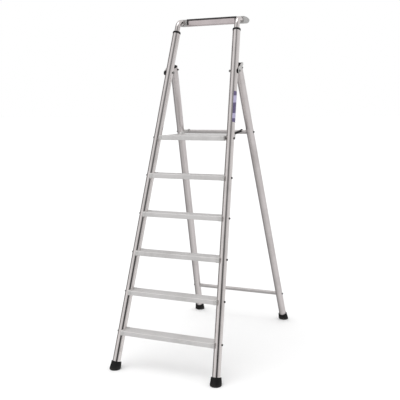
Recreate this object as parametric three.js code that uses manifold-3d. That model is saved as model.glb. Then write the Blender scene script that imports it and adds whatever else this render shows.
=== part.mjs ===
// Platform step ladder: five treads and a platform between two round aluminium stiles,
// a hinged rear frame of two legs and two crossbars, and a handrail that carries a tool tray.
// Millimetres. X to the right, Y from the front feet to the rear feet, Z up.
// The origin is on the floor, midway between the four feet. side is -1 on the left, +1 on the right.

import * as THREE from "three";
import { mergeVertices } from "three/addons/utils/BufferGeometryUtils.js";
import Module from "manifold-3d";

const wasm = await Module();
wasm.setup();

// ---------------------------------------------------------------- driving dimensions

const STANCE_DEPTH = 1354;          // front foot centre to rear foot centre
const FRONT_HALF_WIDTH = 342;       // stile axis from the middle, at the floor
const FRONT_TAPER = 0.0609;         // the stiles close in by this much per mm of height
const FRONT_LEAN = 0.3376;          // and lean back by this much
const REAR_HALF_WIDTH = 350;        // the same three for the rear legs
const REAR_TAPER = 0.0636;
const REAR_LEAN = 0.3504;

const TUBE_RADIUS = 25;             // stiles and legs
const TUBE_WALL = 2;
const TUBE_FOOT_HEIGHT = 22;        // height of a tube's lower end, inside its foot
const STILE_TOP = 2102;
const GAP = 0.3;                    // air left between two pieces that touch
const HEAD_SEAT = 0.9;              // a flat head or nut stands this far off the leaning tube's side

const TREAD_RISE = 240;
const TREAD_COUNT = 5;
const TREAD_THICKNESS = 29;
const TREAD_FRONT = -40;            // from the stile axis
const TREAD_REAR = 45;
const TREAD_WALL = 2.4;
const NOSE_RADIUS = 4;              // rounding of the front edges
const NOSE_LAND = 11;               // smooth strip before the first groove
const GROOVE_PITCH = 8.5;           // anti-slip grooves along the top
const GROOVE_WIDTH = 3;
const GROOVE_DEPTH = 1.1;
const SADDLE_FLANGE = 8;            // saddle between the tread's end and the stile
const SADDLE_OVERHANG = 1.2;        // saddle outline outside the tread's
const SADDLE_WRAP = 12;             // its horns stop this far short of the stile axis
const SCREW_RADIUS = 3.9;
const SCREW_HEAD_RADIUS = 6.5;
const SCREW_HEAD_HEIGHT = 5;

const PLATFORM_TOP = TREAD_RISE * (TREAD_COUNT + 1);
const PLATFORM_DEPTH = 260;
const PLATFORM_HALF_WIDTH = 203;
const PLATFORM_BOLT_RADIUS = 5;
const PLATE_THICKNESS = 4;          // the platform's end caps: a full-depth plate
const BLOCK_END = 226;              // and a deeper block at the stile, out to here
const BLOCK_DEPTH = 82;
const HOOK_X = 196;                 // middle of each hook's thickness
const HOOK_THICKNESS = 9;

const UPPER_BAR_HEIGHT = 1448;
const LOWER_BAR_HEIGHT = 218;
const BAR_RADIUS = 13.5;

const PIVOT_HEIGHT = 1845;
const PIVOT_RADIUS = 5;
const ARM_INNER_X = 258;            // hinge arm on the outboard side of the stile
const ARM_THICKNESS = 8;
const ARM_RADIUS = 15;              // at the pivot
const ARM_TIP_RADIUS = 11;          // at the neck
const NECK_RADIUS = 9;              // joins the arm to the plug, above the low front of the leg's rim
const NECK_AHEAD = 14;              // of the plug's round top
const NECK_ABOVE = 11;
const LEG_CUT_HEIGHT = 1886;        // slanting end of the leg tube, on its axis
const LEG_CUT_SLOPE = 32;           // degrees, rising to the rear
const PLUG_BOTTOM = 1800;
const PLUG_TOP = 1879;              // where the plug's round top starts
const KNUCKLE_BOLT_HEIGHT = 1868;

const RAIL_RADIUS = 17.5;
const RAIL_WALL = 2;
const RAIL_HEIGHT = 2182;           // axis of the level stretch
const RAIL_BEND = 55;
const COLLAR_DEPTH = 42;            // reducing collar: this far into the stile's end
const COLLAR_ABOVE = 14;            // and this far above it
const TRAY_FRONT_Y = 123;
const TRAY_DEPTH = 112;
const TRAY_BOTTOM = 2159;
const TRAY_HEIGHT = 44.5;
const TRAY_NOSE = 29.5;             // rearmost line of the tray, above its bottom
const TRAY_WALL = 3;
const TRAY_HALF_WIDTH = 231;
const TRAY_CAP_LENGTH = 52;
const TRAY_CURVE_Y = 150;           // the back is made of two quarter ellipses that start here
const TRAY_SOCKET_DEPTH = 28;       // the handrail's ends sit this far into the tray's end caps
const TRIM_HEIGHT = 11;
const TRIM_LEG = 12;                // width of the strip down each end of the tray's front
const TRIM_THICKNESS = 1.2;
const TRIM_ABOVE = 1;               // top of the dark edging above the tray's rim

const FOOT_RADIUS = 36;             // at the flared sole
const FOOT_NECK_RADIUS = 31.5;
const FOOT_LIP_HEIGHT = 45.5;       // on the tube's axis; the lip is square to the tube

// ---------------------------------------------------------------- finishes

const FINISHES = {
  polished: { color: 0xd2d0cf, roughness: 0.22, metalness: 1 },
  satin: { color: 0xc4c2c2, roughness: 0.42, metalness: 1 },
  casting: { color: 0xb4b3b1, roughness: 0.5, metalness: 0.8 },
  greyPlastic: { color: 0xa9a7a5, roughness: 0.5, metalness: 0 },
  blackPlastic: { color: 0x1b1b1c, roughness: 0.45, metalness: 0 },
  rubber: { color: 0x161616, roughness: 0.8, metalness: 0 },
  platedSteel: { color: 0x868380, roughness: 0.35, metalness: 0.9 },
  blackSteel: { color: 0x2c2b2b, roughness: 0.4, metalness: 0.6 },
};

const ladder = new THREE.Group();

function add(name, finish, solid) {
  const mesh = new THREE.Mesh(toGeometry(solid), new THREE.MeshStandardMaterial(FINISHES[finish]));
  mesh.name = name;
  ladder.add(mesh);
}

// ---------------------------------------------------------------- solids

// Shared corners are merged while the shape is still at its own origin, then it is put in place.
function toSolid(geometry, placement = new THREE.Matrix4()) {
  const bare = geometry.clone();
  bare.deleteAttribute("normal");
  bare.deleteAttribute("uv");
  const merged = mergeVertices(bare, 1e-3);
  merged.applyMatrix4(placement);
  const corners = merged.index.array;
  const triangles = [];
  for (let i = 0; i < corners.length; i += 3) {
    const [a, b, c] = [corners[i], corners[i + 1], corners[i + 2]];
    if (a !== b && b !== c && c !== a) triangles.push(a, b, c);
  }
  return new wasm.Manifold(new wasm.Mesh({
    numProp: 3,
    vertProperties: new Float32Array(merged.attributes.position.array),
    triVerts: new Uint32Array(triangles),
  }));
}

function toGeometry(solid) {
  const mesh = solid.getMesh();
  const geometry = new THREE.BufferGeometry();
  geometry.setAttribute("position", new THREE.BufferAttribute(mesh.vertProperties, 3));
  geometry.setIndex(new THREE.BufferAttribute(mesh.triVerts, 1));
  return geometry;
}

const cut = (solid, ...tools) => tools.reduce((left, tool) => left.subtract(tool), solid);
const join = (solid, ...others) => others.reduce((sum, other) => sum.add(other), solid);

// A solid of revolution: profile points are [radius, distance along direction from start].
function turned(profile, start, direction, segments = 32) {
  const geometry = new THREE.LatheGeometry(profile.map(([r, h]) => new THREE.Vector2(r, h)), segments);
  const up = new THREE.Vector3(0, 1, 0);
  const turn = new THREE.Quaternion().setFromUnitVectors(up, direction.clone().normalize());
  return toSolid(geometry, new THREE.Matrix4().compose(start, turn, new THREE.Vector3(1, 1, 1)));
}

function rod(from, to, radius, segments = 24) {
  const along = to.clone().sub(from);
  const length = along.length();
  return turned([[0, 0], [radius, 0], [radius, length], [0, length]], from, along, segments);
}

const rodAlongX = (x0, x1, y, z, radius, segments = 16) =>
  rod(new THREE.Vector3(x0, y, z), new THREE.Vector3(x1, y, z), radius, segments);

// A prism along X whose outline is drawn in (y, z).
function prism(shape, xA, xB, curveSegments = 8) {
  const [x0, x1] = xA < xB ? [xA, xB] : [xB, xA];
  const geometry = new THREE.ExtrudeGeometry(shape, { depth: x1 - x0, bevelEnabled: false, curveSegments });
  const placement = new THREE.Matrix4().makeBasis(
    new THREE.Vector3(0, 1, 0), new THREE.Vector3(0, 0, 1), new THREE.Vector3(1, 0, 0));
  placement.setPosition(x0, 0, 0);
  return toSolid(geometry, placement);
}

function box(x0, x1, y0, y1, z0, z1) {
  const geometry = new THREE.BoxGeometry(Math.abs(x1 - x0), y1 - y0, z1 - z0);
  geometry.translate((x0 + x1) / 2, (y0 + y1) / 2, (z0 + z1) / 2);
  return toSolid(geometry);
}

// ---------------------------------------------------------------- axes of the four tubes

const SIDES = [["left", -1], ["right", 1]];
const FRONT_FOOT_Y = -STANCE_DEPTH / 2;
const REAR_FOOT_Y = STANCE_DEPTH / 2;

const onStile = (side, z) =>
  new THREE.Vector3(side * (FRONT_HALF_WIDTH - FRONT_TAPER * z), FRONT_FOOT_Y + FRONT_LEAN * z, z);
const onLeg = (side, z) =>
  new THREE.Vector3(side * (REAR_HALF_WIDTH - REAR_TAPER * z), REAR_FOOT_Y - REAR_LEAN * z, z);

// The tube's whole outside, with clearance, from one height to another: used to cope its neighbours.
const outside = (axis, side, z0, z1) => rod(axis(side, z0), axis(side, z1), TUBE_RADIUS + GAP);

function tube(axis, side, z0, z1) {
  const reach = 10;
  const outer = rod(axis(side, z0), axis(side, z1), TUBE_RADIUS);
  const bore = rod(axis(side, z0 - reach), axis(side, z1 + reach), TUBE_RADIUS - TUBE_WALL);
  return cut(outer, bore);
}

function crossHole(axis, side, z, radius) {
  const centre = axis(side, z);
  const reach = TUBE_RADIUS * 1.6;
  return rodAlongX(centre.x - reach, centre.x + reach, centre.y, centre.z, radius, 12);
}

// A bolt along X from its head, outside the tube, to its tip at distance length from the tube axis
// on the inboard side. With a nut, the nut sits against the inboard wall.
function crossBolt(axis, side, z, { radius, headRadius, headHeight, headAt, length, nut = 0 }) {
  const centre = axis(side, z);
  const seat = headAt ?? Math.abs(centre.x) + TUBE_RADIUS + HEAD_SEAT;
  const start = new THREE.Vector3(side * (seat + headHeight), centre.y, centre.z);
  const tip = seat + headHeight - (Math.abs(centre.x) - length);
  const crown = 0.6 * headRadius;
  const profile = [[0, 0], [crown, 0], [headRadius, 0.45 * headHeight], [headRadius, headHeight],
    [radius, headHeight]];
  if (nut > 0) {
    const nutFace = seat + headHeight - (Math.abs(centre.x) - TUBE_RADIUS - HEAD_SEAT);
    const nutEnd = nutFace + nut;
    profile.push([radius, nutFace], [headRadius, nutFace], [headRadius, nutEnd], [radius, nutEnd]);
  }
  profile.push([radius, tip], [0, tip]);
  return turned(profile, start, new THREE.Vector3(-side, 0, 0), 12);
}

// ---------------------------------------------------------------- front frame

const SCREW_BELOW_TOP = 15;
const treadTops = Array.from({ length: TREAD_COUNT }, (_, i) => TREAD_RISE * (i + 1));
const platformPivot = onStile(1, PLATFORM_TOP - SCREW_BELOW_TOP);
const hingePivot = onStile(1, PIVOT_HEIGHT);

function addStile(name, side) {
  const screwHoles = treadTops.map((top) =>
    crossHole(onStile, side, top - SCREW_BELOW_TOP, SCREW_RADIUS + GAP));
  const stile = cut(
    tube(onStile, side, TUBE_FOOT_HEIGHT, STILE_TOP),
    ...screwHoles,
    crossHole(onStile, side, platformPivot.z, PLATFORM_BOLT_RADIUS + GAP),
    crossHole(onStile, side, PIVOT_HEIGHT, PIVOT_RADIUS + GAP),
  );
  add(`${name}_stile`, "polished", stile);
}

// Outline of a tread or of the platform in (y, z), round at the front, grooved along the top.
function deckOutline(front, rear, bottom, top, grooved) {
  const nose = NOSE_RADIUS;
  const heel = 3;
  const shape = new THREE.Shape();
  shape.moveTo(front + nose, bottom);
  shape.lineTo(rear - heel, bottom);
  shape.absarc(rear - heel, bottom + heel, heel, -Math.PI / 2, 0, false);
  shape.lineTo(rear, top - heel);
  shape.absarc(rear - heel, top - heel, heel, 0, Math.PI / 2, false);
  if (grooved) {
    const first = front + NOSE_LAND;
    const count = Math.floor((rear - heel - first) / GROOVE_PITCH);
    for (let i = count; i >= 0; i -= 1) {
      const y = first + i * GROOVE_PITCH;
      if (y + GROOVE_WIDTH > rear - heel - 1) continue;
      shape.lineTo(y + GROOVE_WIDTH, top);
      shape.lineTo(y + GROOVE_WIDTH, top - GROOVE_DEPTH);
      shape.lineTo(y, top - GROOVE_DEPTH);
      shape.lineTo(y, top);
    }
  }
  shape.lineTo(front + nose, top);
  shape.absarc(front + nose, top - nose, nose, Math.PI / 2, Math.PI, false);
  shape.lineTo(front, bottom + nose);
  shape.absarc(front + nose, bottom + nose, nose, Math.PI, 1.5 * Math.PI, false);
  return shape;
}

// A hollow chamber along the whole length of a tread or of the platform.
const chamber = (halfLength, y0, y1, z0, z1) => box(-halfLength - 5, halfLength + 5, y0, y1, z0, z1);

const CORE = { y: 12.5, z: 11 };      // half size of the chamber that takes a saddle's spigot

function addTread(index, top) {
  const middle = onStile(1, top - SCREW_BELOW_TOP);
  const [front, rear] = [middle.y + TREAD_FRONT, middle.y + TREAD_REAR];
  const bottom = top - TREAD_THICKNESS;
  const halfLength = middle.x - TUBE_RADIUS - SADDLE_FLANGE - GAP;
  const outline = deckOutline(front, rear, bottom, top, true);
  const [low, high] = [middle.z - CORE.z, middle.z + CORE.z];
  const name = `tread_${index}`;
  add(name, "satin", cut(
    prism(outline, -halfLength, halfLength, 5),
    chamber(halfLength, front + 3 * TREAD_WALL, middle.y - CORE.y - TREAD_WALL, low, high),
    chamber(halfLength, middle.y - CORE.y, middle.y + CORE.y, low, high),
    chamber(halfLength, middle.y + CORE.y + TREAD_WALL, rear - TREAD_WALL, low, high),
  ));

  for (const [sideName, side] of SIDES) {
    const spigotLength = 24;
    const screwDepth = 15;
    const block = prism(
      deckOutline(front - SADDLE_OVERHANG, rear + SADDLE_OVERHANG, bottom - SADDLE_OVERHANG,
        top + SADDLE_OVERHANG, false),
      side * (halfLength + GAP), side * (middle.x - SADDLE_WRAP), 3);
    const spigot = box(
      side * (halfLength - spigotLength), side * (halfLength + 2),
      middle.y - CORE.y + GAP, middle.y + CORE.y - GAP, low + GAP, high - GAP);
    const screwHole = rodAlongX(
      side * (halfLength - screwDepth), side * middle.x, middle.y, middle.z, SCREW_RADIUS + GAP, 12);
    const stile = outside(onStile, side, bottom - 40, top + 40);
    add(`${name}_${sideName}_saddle`, "casting", cut(join(block, spigot), stile, screwHole));
    add(`${name}_${sideName}_screw`, "blackSteel", crossBolt(onStile, side, middle.z, {
      radius: SCREW_RADIUS, headRadius: SCREW_HEAD_RADIUS, headHeight: SCREW_HEAD_HEIGHT,
      length: middle.x - halfLength + screwDepth - 2,
    }));
  }
}

// A rubber foot: a flared boot with a flat sole, sheared so that it follows the leaning tube,
// and cut square to the tube at its lip.
function addFoot(name, axis, side) {
  const blankHeight = 1.6 * FOOT_LIP_HEIGHT;
  const profile = [[0, 0], [FOOT_RADIUS - 4, 0], [FOOT_RADIUS - 1, 1.5], [FOOT_RADIUS, 5], [FOOT_RADIUS, 12],
    [FOOT_NECK_RADIUS, FOOT_LIP_HEIGHT], [FOOT_NECK_RADIUS, blankHeight], [0, blankHeight],
  ].map(([r, z]) => new THREE.Vector2(r, z));
  const geometry = new THREE.LatheGeometry(profile, 24);
  const base = axis(side, 0);
  const step = axis(side, 1).sub(base);
  const shear = new THREE.Matrix4().set(
    1, 0, step.x, base.x,
    0, 1, step.y, base.y,
    0, 0, 1, 0,
    0, 0, 0, 1);
  shear.multiply(new THREE.Matrix4().makeRotationX(Math.PI / 2));
  const above = axis(side, 3 * FOOT_LIP_HEIGHT);
  const socket = rod(axis(side, TUBE_FOOT_HEIGHT - 1), above, TUBE_RADIUS + GAP);
  const waste = rod(axis(side, FOOT_LIP_HEIGHT), above, 3 * FOOT_RADIUS, 8);
  add(name, "rubber", cut(toSolid(geometry, shear), socket, waste));
}

// ---------------------------------------------------------------- handrail and tray

function addHandrail(name, side) {
  const alongStile = onStile(side, STILE_TOP + 1).sub(onStile(side, STILE_TOP)).normalize();
  const bore = RAIL_RADIUS + GAP;
  const spigot = TUBE_RADIUS - TUBE_WALL - GAP;
  const bulge = TUBE_RADIUS + 1.5;
  const collar = [[bore, -COLLAR_DEPTH], [spigot, -COLLAR_DEPTH], [spigot, GAP], [bulge - 0.5, GAP],
    [bulge, 3], [bulge - 0.5, COLLAR_ABOVE - 3], [bulge - 2.5, COLLAR_ABOVE], [bore, COLLAR_ABOVE],
    [bore, -COLLAR_DEPTH]];
  add(`${name}_handrail_collar`, "blackPlastic", turned(collar, onStile(side, STILE_TOP), alongStile, 24));

  const level = new THREE.Vector3(0, 1, 0);
  const corner = onStile(side, RAIL_HEIGHT);
  const turn = Math.acos(alongStile.dot(level));
  const setback = RAIL_BEND * Math.tan(turn / 2);
  const handle = (4 / 3) * Math.tan(turn / 4) * RAIL_BEND;
  const bendStart = corner.clone().addScaledVector(alongStile, -setback);
  const bendEnd = corner.clone().addScaledVector(level, setback);
  const tip = new THREE.Vector3(corner.x, TRAY_FRONT_Y + TRAY_SOCKET_DEPTH - 2, RAIL_HEIGHT);
  const path = new THREE.CurvePath();
  path.add(new THREE.LineCurve3(onStile(side, STILE_TOP - COLLAR_DEPTH), bendStart));
  path.add(new THREE.CubicBezierCurve3(
    bendStart, bendStart.clone().addScaledVector(alongStile, handle),
    bendEnd.clone().addScaledVector(level, -handle), bendEnd));
  path.add(new THREE.LineCurve3(bendEnd, tip));
  const section = new THREE.Shape().absarc(0, 0, RAIL_RADIUS, 0, 2 * Math.PI, false);
  section.holes.push(new THREE.Path().absarc(0, 0, RAIL_RADIUS - RAIL_WALL, 0, 2 * Math.PI, true));
  const geometry = new THREE.ExtrudeGeometry(section, { steps: 16, curveSegments: 8, extrudePath: path });
  add(`${name}_handrail_arm`, "polished", toSolid(geometry));
  return corner;
}

const trayTop = TRAY_BOTTOM + TRAY_HEIGHT;
const trayNoseHeight = TRAY_BOTTOM + TRAY_NOSE;
const trayCurveDepth = TRAY_FRONT_Y + TRAY_DEPTH - TRAY_CURVE_Y;
const panelHalfWidth = TRAY_HALF_WIDTH - TRAY_CAP_LENGTH;
const frontWallTop = trayTop + TRIM_ABOVE - 3 * TRIM_THICKNESS;
const lipAngle = Math.PI / 4;         // the trough's back wall curls this far over, from the middle

// Curve of the tray's back, between its bottom and the given angle above the rearmost line.
function addTrayBack(shape, inset, angle, clockwise) {
  const lower = [TRAY_NOSE - inset, -Math.PI / 2, 0];
  const upper = [TRAY_HEIGHT - TRAY_NOSE - inset, 0, angle];
  for (const [height, low, high] of clockwise ? [upper, lower] : [lower, upper]) {
    const [from, to] = clockwise ? [high, low] : [low, high];
    shape.absellipse(
      TRAY_CURVE_Y, trayNoseHeight, trayCurveDepth - inset, height, from, to, clockwise, 0);
  }
}

// The tray's section: flat front and bottom, curved back, open along the top.
function trayOutline() {
  const corner = 6;
  const shape = new THREE.Shape();
  shape.moveTo(TRAY_FRONT_Y, frontWallTop);
  shape.lineTo(TRAY_FRONT_Y, TRAY_BOTTOM + corner);
  shape.absarc(TRAY_FRONT_Y + corner, TRAY_BOTTOM + corner, corner, Math.PI, 1.5 * Math.PI, false);
  shape.lineTo(TRAY_CURVE_Y, TRAY_BOTTOM);
  addTrayBack(shape, 0, lipAngle, false);
  addTrayBack(shape, TRAY_WALL, lipAngle, true);
  shape.lineTo(TRAY_FRONT_Y + corner, TRAY_BOTTOM + TRAY_WALL);
  shape.absarc(TRAY_FRONT_Y + corner, TRAY_BOTTOM + corner, corner - TRAY_WALL, 1.5 * Math.PI, Math.PI, true);
  shape.lineTo(TRAY_FRONT_Y + TRAY_WALL, frontWallTop);
  shape.closePath();
  return shape;
}

// Dark edging that straddles the top of the tray's front wall.
function trimOutline() {
  const [y0, y1] = [TRAY_FRONT_Y - GAP, TRAY_FRONT_Y + TRAY_WALL + GAP];
  const top = trayTop + TRIM_ABOVE;
  const bottom = top - TRIM_HEIGHT;
  const bevel = 1;
  const shape = new THREE.Shape();
  shape.moveTo(y0 - TRIM_THICKNESS, bottom);
  shape.lineTo(y0, bottom);
  shape.lineTo(y0, frontWallTop + GAP);
  shape.lineTo(y1, frontWallTop + GAP);
  shape.lineTo(y1, bottom);
  shape.lineTo(y1 + TRIM_THICKNESS, bottom);
  shape.lineTo(y1 + TRIM_THICKNESS, top - bevel);
  shape.lineTo(y1 + TRIM_THICKNESS - bevel, top);
  shape.lineTo(y0 - TRIM_THICKNESS + bevel, top);
  shape.lineTo(y0 - TRIM_THICKNESS, top - bevel);
  shape.closePath();
  return shape;
}

function addTray(railEnds) {
  add("tray", "satin", prism(trayOutline(), -panelHalfWidth, panelHalfWidth, 12));
  const trimEnd = panelHalfWidth - 1;
  const strips = SIDES.map(([, side]) => box(
    side * (trimEnd - TRIM_LEG), side * trimEnd, TRAY_FRONT_Y - GAP - TRIM_THICKNESS, TRAY_FRONT_Y - GAP,
    TRAY_BOTTOM + 7, trayTop - TRIM_HEIGHT / 2));
  add("tray_edge_trim", "rubber", join(prism(trimOutline(), -trimEnd, trimEnd), ...strips));
  const cap = new THREE.Shape();
  const round = 4;
  cap.moveTo(TRAY_FRONT_Y, TRAY_BOTTOM + round);
  cap.absarc(TRAY_FRONT_Y + round, TRAY_BOTTOM + round, round, Math.PI, 1.5 * Math.PI, false);
  cap.lineTo(TRAY_CURVE_Y, TRAY_BOTTOM);
  addTrayBack(cap, 0, Math.PI / 2, false);
  cap.lineTo(TRAY_FRONT_Y + round, trayTop);
  cap.absarc(TRAY_FRONT_Y + round, trayTop - round, round, Math.PI / 2, Math.PI, false);
  SIDES.forEach(([name, side], i) => {
    const end = railEnds[i];
    const socket = rod(
      new THREE.Vector3(end.x, TRAY_FRONT_Y - 5, RAIL_HEIGHT),
      new THREE.Vector3(end.x, TRAY_FRONT_Y + TRAY_SOCKET_DEPTH, RAIL_HEIGHT), RAIL_RADIUS + GAP);
    const block = prism(cap, side * (panelHalfWidth + GAP), side * TRAY_HALF_WIDTH, 12);
    add(`${name}_tray_end_cap`, "greyPlastic", cut(block, socket));
  });
}

// ---------------------------------------------------------------- rear frame

const neckCentre = onLeg(1, PLUG_TOP).add(new THREE.Vector3(0, -NECK_AHEAD, NECK_ABOVE));

function addLeg(name, side) {
  const reach = 140;
  const slant = new THREE.BoxGeometry(reach, reach, reach);
  slant.translate(0, 0, reach / 2);
  slant.rotateX(THREE.MathUtils.degToRad(LEG_CUT_SLOPE));
  const cutAt = onLeg(side, LEG_CUT_HEIGHT);
  slant.translate(cutAt.x, cutAt.y, cutAt.z);
  const leg = cut(
    tube(onLeg, side, TUBE_FOOT_HEIGHT, LEG_CUT_HEIGHT + 45),
    toSolid(slant),
    crossHole(onLeg, side, UPPER_BAR_HEIGHT, SCREW_RADIUS + GAP),
    crossHole(onLeg, side, LOWER_BAR_HEIGHT, SCREW_RADIUS + GAP),
    crossHole(onLeg, side, KNUCKLE_BOLT_HEIGHT, SCREW_RADIUS + GAP),
  );
  add(`${name}_rear_leg`, "satin", leg);
}

// Hinge knuckle: a plug in the leg's top, and an arm that reaches forward past the stile to the pivot.
function addKnuckle(name, side) {
  const plugRadius = TUBE_RADIUS - TUBE_WALL - GAP;
  const [bottom, top] = [onLeg(side, PLUG_BOTTOM), onLeg(side, PLUG_TOP)];
  const length = top.distanceTo(bottom);
  const rings = 5;
  const dome = Array.from({ length: rings + 1 }, (_, i) => {
    const angle = (i / rings) * (Math.PI / 2);
    return [i === rings ? 0 : plugRadius * Math.cos(angle), length + plugRadius * Math.sin(angle)];
  });
  const plug = turned([[0, 0], [plugRadius, 0], ...dome], bottom, top.clone().sub(bottom), 24);

  const [dy, dz] = [neckCentre.y - hingePivot.y, neckCentre.z - hingePivot.z];
  const along = Math.atan2(dz, dy);
  const tangent = Math.acos((ARM_RADIUS - ARM_TIP_RADIUS) / Math.hypot(dy, dz));
  const outline = new THREE.Shape();
  outline.absarc(neckCentre.y, neckCentre.z, ARM_TIP_RADIUS, along - tangent, along + tangent, false);
  outline.absarc(
    hingePivot.y, hingePivot.z, ARM_RADIUS, along + tangent, along + 2 * Math.PI - tangent, false);
  const arm = prism(outline, side * ARM_INNER_X, side * (ARM_INNER_X + ARM_THICKNESS), 14);
  const neck = rodAlongX(
    side * neckCentre.x, side * (ARM_INNER_X + 1), neckCentre.y, neckCentre.z, NECK_RADIUS, 24);
  const eye = rodAlongX(
    side * (ARM_INNER_X - 5), side * (ARM_INNER_X + ARM_THICKNESS + 5),
    hingePivot.y, hingePivot.z, PIVOT_RADIUS + GAP, 20);
  const boltHole = crossHole(onLeg, side, KNUCKLE_BOLT_HEIGHT, SCREW_RADIUS + GAP);
  add(`${name}_hinge_knuckle`, "blackPlastic", cut(join(plug, neck, arm), eye, boltHole));

  add(`${name}_knuckle_bolt`, "platedSteel", crossBolt(onLeg, side, KNUCKLE_BOLT_HEIGHT, {
    radius: SCREW_RADIUS, headRadius: SCREW_HEAD_RADIUS, headHeight: 4, length: TUBE_RADIUS + 10, nut: 6,
  }));
  add(`${name}_hinge_bolt`, "platedSteel", crossBolt(onStile, side, PIVOT_HEIGHT, {
    radius: PIVOT_RADIUS, headRadius: 8, headHeight: 5, headAt: ARM_INNER_X + ARM_THICKNESS + GAP,
    length: TUBE_RADIUS + 11, nut: 7,
  }));
}

function addCrossbar(name, height) {
  const centre = onLeg(1, height);
  const end = centre.x - 8;
  const bar = rodAlongX(-end, end, centre.y, height, BAR_RADIUS, 24);
  const bore = rodAlongX(-end - 5, end + 5, centre.y, height, BAR_RADIUS - TUBE_WALL, 24);
  const legs = SIDES.map(([, side]) => outside(onLeg, side, height - 60, height + 60));
  add(`${name}_crossbar`, "satin", cut(bar, bore, ...legs));
  for (const [sideName, side] of SIDES) {
    add(`${name}_crossbar_${sideName}_bolt`, "blackSteel", crossBolt(onLeg, side, height, {
      radius: SCREW_RADIUS, headRadius: SCREW_HEAD_RADIUS, headHeight: SCREW_HEAD_HEIGHT,
      length: TUBE_RADIUS + 32,
    }));
  }
}

// ---------------------------------------------------------------- platform

const platformFront = platformPivot.y + TREAD_FRONT;
const platformRear = platformFront + PLATFORM_DEPTH;
const platformBottom = PLATFORM_TOP - TREAD_THICKNESS;
const upperBar = onLeg(1, UPPER_BAR_HEIGHT);
const TONGUE = { depth: 30, low: -9.5, high: 10 };

function addPlatform() {
  const outline = deckOutline(platformFront, platformRear, platformBottom, PLATFORM_TOP, true);
  const [low, high] = [platformPivot.z - CORE.z, platformPivot.z + CORE.z];
  const chambers = 6;
  const first = platformFront + 3 * TREAD_WALL;
  const pitch = (platformRear - first) / chambers;
  const hollows = Array.from({ length: chambers }, (_, i) =>
    chamber(PLATFORM_HALF_WIDTH, first + i * pitch, first + (i + 1) * pitch - TREAD_WALL, low, high));
  const slots = SIDES.map(([, side]) => box(
    side * (HOOK_X - HOOK_THICKNESS / 2 - GAP), side * (HOOK_X + HOOK_THICKNESS / 2 + GAP),
    platformRear - 2 * TREAD_WALL, platformRear + 1,
    platformPivot.z + TONGUE.low - GAP, platformPivot.z + TONGUE.high + GAP));
  const deck = prism(outline, -PLATFORM_HALF_WIDTH, PLATFORM_HALF_WIDTH, 5);
  add("platform", "satin", cut(deck, ...hollows, ...slots));

  for (const [name, side] of SIDES) {
    const plateX = PLATFORM_HALF_WIDTH + GAP;
    const plate = prism(
      deckOutline(platformFront, platformRear, platformBottom, PLATFORM_TOP, false),
      side * plateX, side * (plateX + PLATE_THICKNESS), 5);
    const block = prism(
      deckOutline(platformFront, platformFront + BLOCK_DEPTH, platformBottom, PLATFORM_TOP, false),
      side * (plateX + 1), side * BLOCK_END, 5);
    const spigots = [0, 2].map((i) => {
      const y = first + i * pitch;
      return box(side * (plateX - 22), side * (plateX + 1), y + GAP, y + pitch - TREAD_WALL - GAP,
        low + GAP, high - GAP);
    });
    const hole = rodAlongX(
      side * (plateX + PLATE_THICKNESS), side * (BLOCK_END + 5), platformPivot.y, platformPivot.z,
      PLATFORM_BOLT_RADIUS + GAP, 20);
    add(`platform_${name}_end_cap`, "casting", cut(join(plate, block, ...spigots), hole));
    add(`platform_${name}_pivot_bolt`, "blackSteel", crossBolt(onStile, side, platformPivot.z, {
      radius: PLATFORM_BOLT_RADIUS, headRadius: 7.5, headHeight: SCREW_HEAD_HEIGHT,
      length: platformPivot.x - plateX - PLATE_THICKNESS - 1.5,
    }));
  }
}

// Flat hook that reaches back from the platform and over the upper crossbar. Only the right one is black.
function addHook(name, side) {
  const throat = BAR_RADIUS + 2;
  const back = BAR_RADIUS + 6;
  const lip = -0.2;
  const { y, z } = upperBar;
  const shoulder = platformRear + 14;
  const shape = new THREE.Shape();
  shape.moveTo(platformRear - TONGUE.depth, platformPivot.z + TONGUE.low);
  shape.lineTo(platformRear + GAP, platformPivot.z + TONGUE.low);
  shape.lineTo(shoulder, z - 12);
  shape.lineTo(y - 26, z - 1);
  shape.lineTo(y - throat, z);
  shape.absarc(y, z, throat, Math.PI, lip, true);
  shape.absarc(y, z, back, lip, 0.72 * Math.PI, false);
  shape.lineTo(shoulder, z + 2);
  shape.lineTo(platformRear + GAP, platformPivot.z + TONGUE.high);
  shape.lineTo(platformRear - TONGUE.depth, platformPivot.z + TONGUE.high);
  shape.closePath();
  add(`${name}_platform_hook`, side > 0 ? "blackPlastic" : "casting", prism(
    shape, side * (HOOK_X - HOOK_THICKNESS / 2), side * (HOOK_X + HOOK_THICKNESS / 2), 12));
}

// ---------------------------------------------------------------- assembly

for (const [name, side] of SIDES) {
  addStile(name, side);
  addFoot(`${name}_front_foot`, onStile, side);
}
treadTops.forEach((top, i) => addTread(i + 1, top));
addTray(SIDES.map(([name, side]) => addHandrail(name, side)));

for (const [name, side] of SIDES) {
  addLeg(name, side);
  addFoot(`${name}_rear_foot`, onLeg, side);
  addKnuckle(name, side);
}
addCrossbar("upper", UPPER_BAR_HEIGHT);
addCrossbar("lower", LOWER_BAR_HEIGHT);

addPlatform();
for (const [name, side] of SIDES) {
  addHook(name, side);
}

export default ladder;
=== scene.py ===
import math

import bmesh
import bpy
from mathutils import Matrix, Vector


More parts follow.
